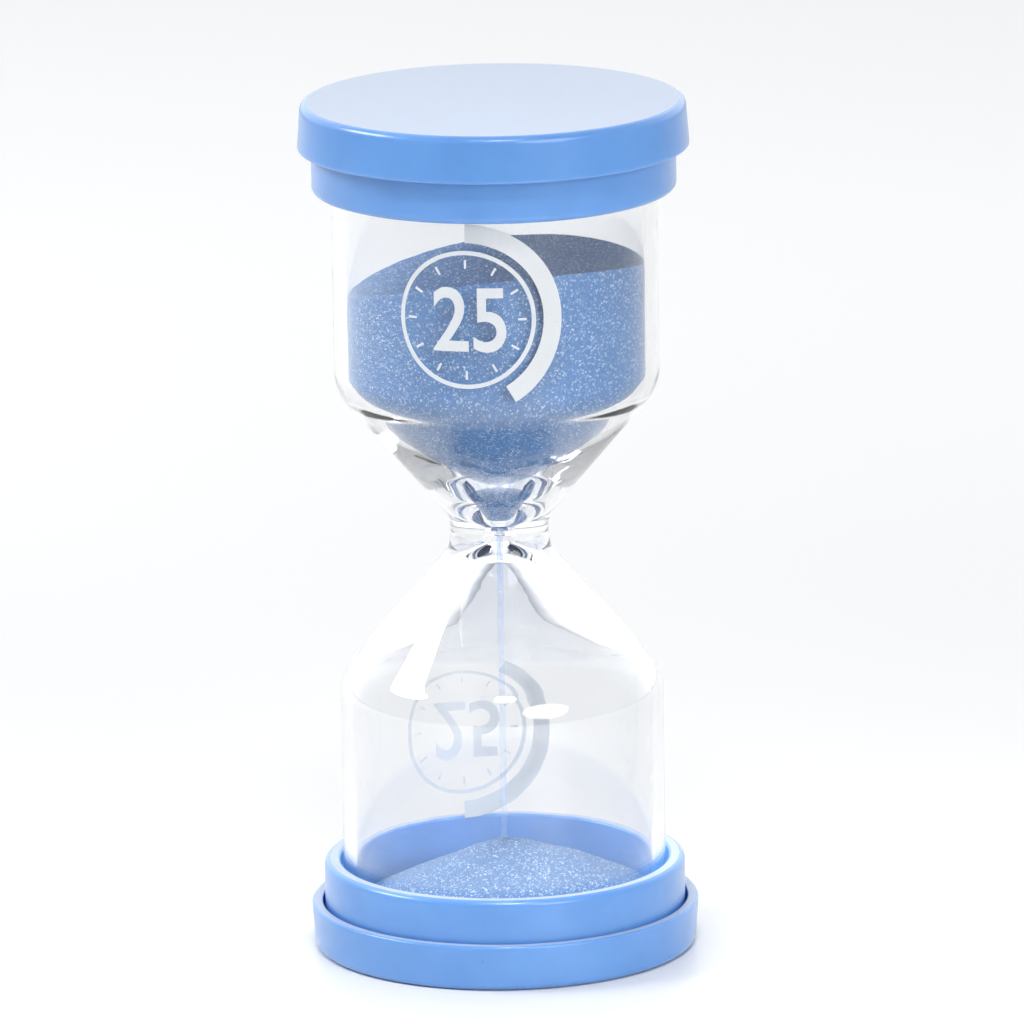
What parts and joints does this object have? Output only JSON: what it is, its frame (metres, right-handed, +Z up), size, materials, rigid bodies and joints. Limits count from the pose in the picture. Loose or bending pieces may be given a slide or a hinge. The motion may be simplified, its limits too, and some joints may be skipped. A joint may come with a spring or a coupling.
{
  "type": "sand timer",
  "caption": "Reversible sand timer: clear funnel bulbs joined at a narrow neck, glittering sand inside, held between round stepped plastic caps.",
  "frame": {"origin": "centre of the bottom face, where the timer stands", "axes": "+Z up along the axis of revolution; the upper dial print faces -Y"},
  "size_m": [0.05, 0.05, 0.111],
  "materials": {
    "cap_plastic": "gloss",
    "plug_plastic": "satin",
    "clear_bulb": "polished",
    "foam": "matte",
    "sand": "matte",
    "print_ink": "satin"
  },
  "bodies": {
    "root": {"bottom_cover": "cap_plastic", "bottom_collar": "cap_plastic", "bottom_foam_pad": "foam", "bottom_plug": "plug_plastic", "lower_bulb": "clear_bulb", "upper_bulb": "clear_bulb", "top_plug": "plug_plastic", "top_foam_pad": "foam", "top_collar": "cap_plastic", "top_cover": "cap_plastic", "upper_sand": "sand", "sand_stream": "sand", "lower_sand": "sand"}
  },
  "joints": []
}
